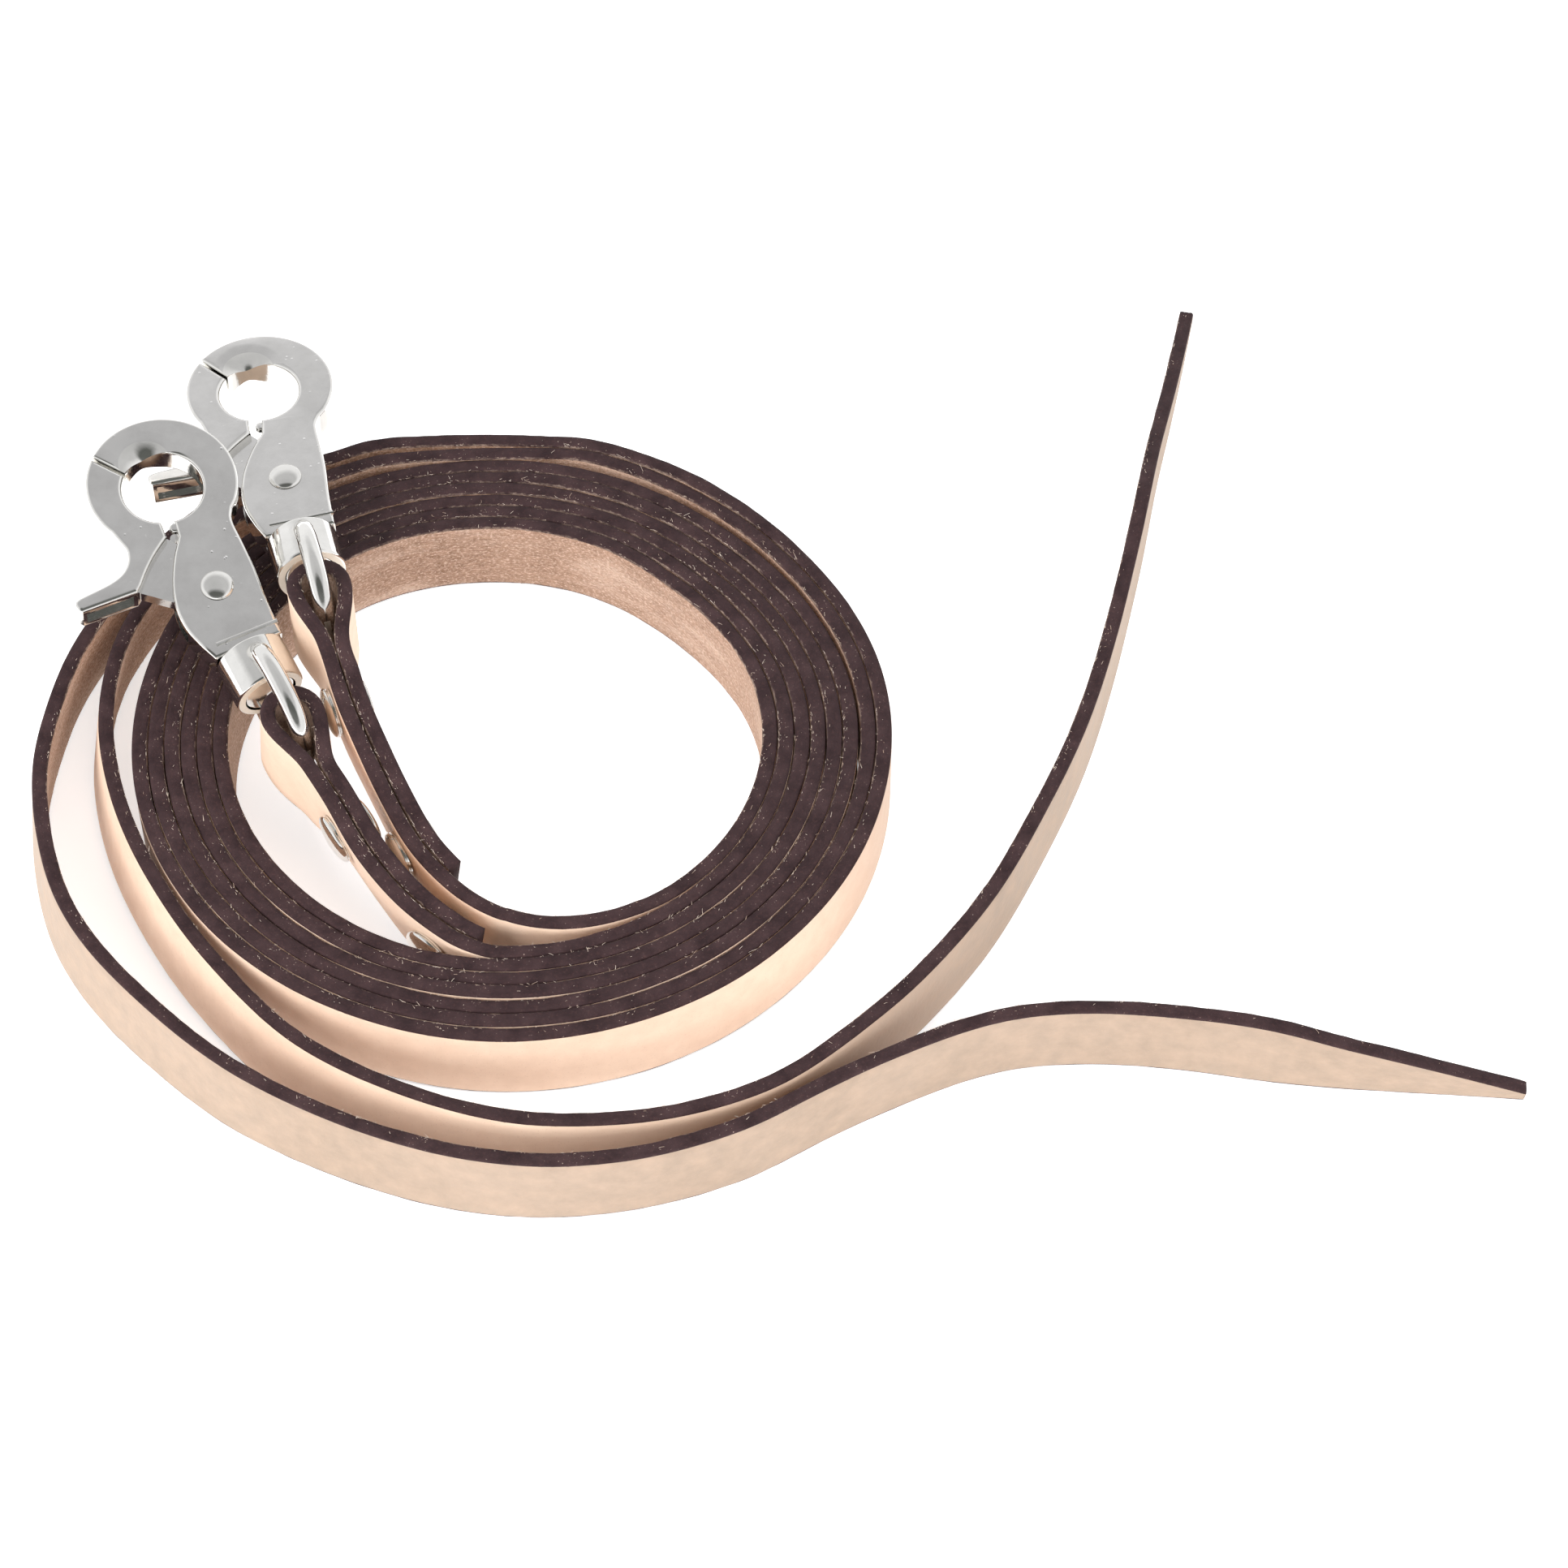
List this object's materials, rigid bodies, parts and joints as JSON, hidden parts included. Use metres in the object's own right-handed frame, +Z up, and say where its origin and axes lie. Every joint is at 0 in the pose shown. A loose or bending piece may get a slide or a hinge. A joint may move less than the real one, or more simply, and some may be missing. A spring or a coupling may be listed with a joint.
{
  "type": "leather reins",
  "caption": "Flat leather riding reins wound on edge into a coil, each folded and riveted round the swivel eye of a scissor snap and ending in a long tapered tip",
  "frame": {"origin": "centre of the bounding box's base, on the floor under the coil", "axes": "+X along the longest extent, to the tip of the lower tail; +Y away from the viewer; +Z up, along the straps' width"},
  "size_m": [0.2656, 0.2123, 0.0371],
  "materials": {
    "tooling_leather": "vegetable-tanned leather, smooth grain outside, suede flesh inside, dark dyed edges",
    "satin_nickel": "satin nickel plate on a cast body, bright at the bevelled edges",
    "nickel_plate": "bright nickel plate",
    "spring_steel": "plain spring wire"
  },
  "bodies": {
    "straps": {"left_rein_rivet_1_cap": "nickel_plate", "left_rein_rivet_1_post": "nickel_plate", "left_rein_rivet_2_cap": "nickel_plate", "left_rein_rivet_2_post": "nickel_plate", "left_rein_strap": "tooling_leather", "right_rein_rivet_1_cap": "nickel_plate", "right_rein_rivet_1_post": "nickel_plate", "right_rein_rivet_2_cap": "nickel_plate", "right_rein_rivet_2_post": "nickel_plate", "right_rein_strap": "tooling_leather"},
    "left_eye": {"left_rein_swivel_eye": "nickel_plate"},
    "left_snap": {"left_rein_hook_body": "satin_nickel", "left_rein_lever_spring": "spring_steel", "left_rein_pivot_rivet": "nickel_plate", "left_rein_swivel_washer": "nickel_plate"},
    "left_lever": {"left_rein_trigger_lever": "nickel_plate"},
    "right_eye": {"right_rein_swivel_eye": "nickel_plate"},
    "right_snap": {"right_rein_hook_body": "satin_nickel", "right_rein_lever_spring": "spring_steel", "right_rein_pivot_rivet": "nickel_plate", "right_rein_swivel_washer": "nickel_plate"},
    "right_lever": {"right_rein_trigger_lever": "nickel_plate"}
  },
  "joints": [
    {"name": "left_eye_swing", "type": "hinge", "parent": "straps", "child": "left_eye", "pos_m": [-0.08246, -0.02028, 0.01931], "axis": [0.0951, -0.1752, 0.9799], "range_deg": [0, 5]},
    {"name": "left_swivel", "type": "hinge", "parent": "left_eye", "child": "left_snap", "pos_m": [-0.0869, -0.0121, 0.0212], "axis": [-0.4676, 0.8612, 0.1994], "range_deg": [-5, 0]},
    {"name": "left_lever_pivot", "type": "hinge", "parent": "left_snap", "child": "left_lever", "pos_m": [-0.09924, 0.01064, 0.02646], "axis": [0.0951, -0.1752, 0.9799], "range_deg": [0, 27], "stiffness_Nm_per_rad": 0.04, "springref_deg": -17.19},
    {"name": "right_eye_swing", "type": "hinge", "parent": "straps", "child": "right_eye", "pos_m": [-0.07913, 0.00366, 0.02522], "axis": [-0.0061, 0.0218, 0.9997], "range_deg": [-8, 0]},
    {"name": "right_swivel", "type": "hinge", "parent": "right_eye", "child": "right_snap", "pos_m": [-0.0817, 0.0128, 0.025], "axis": [-0.2705, 0.9624, -0.0227], "range_deg": [-4, 0]},
    {"name": "right_lever_pivot", "type": "hinge", "parent": "right_snap", "child": "right_lever", "pos_m": [-0.08884, 0.03821, 0.0244], "axis": [-0.0061, 0.0218, 0.9997], "range_deg": [0, 25], "stiffness_Nm_per_rad": 0.04, "springref_deg": -17.19}
  ]
}
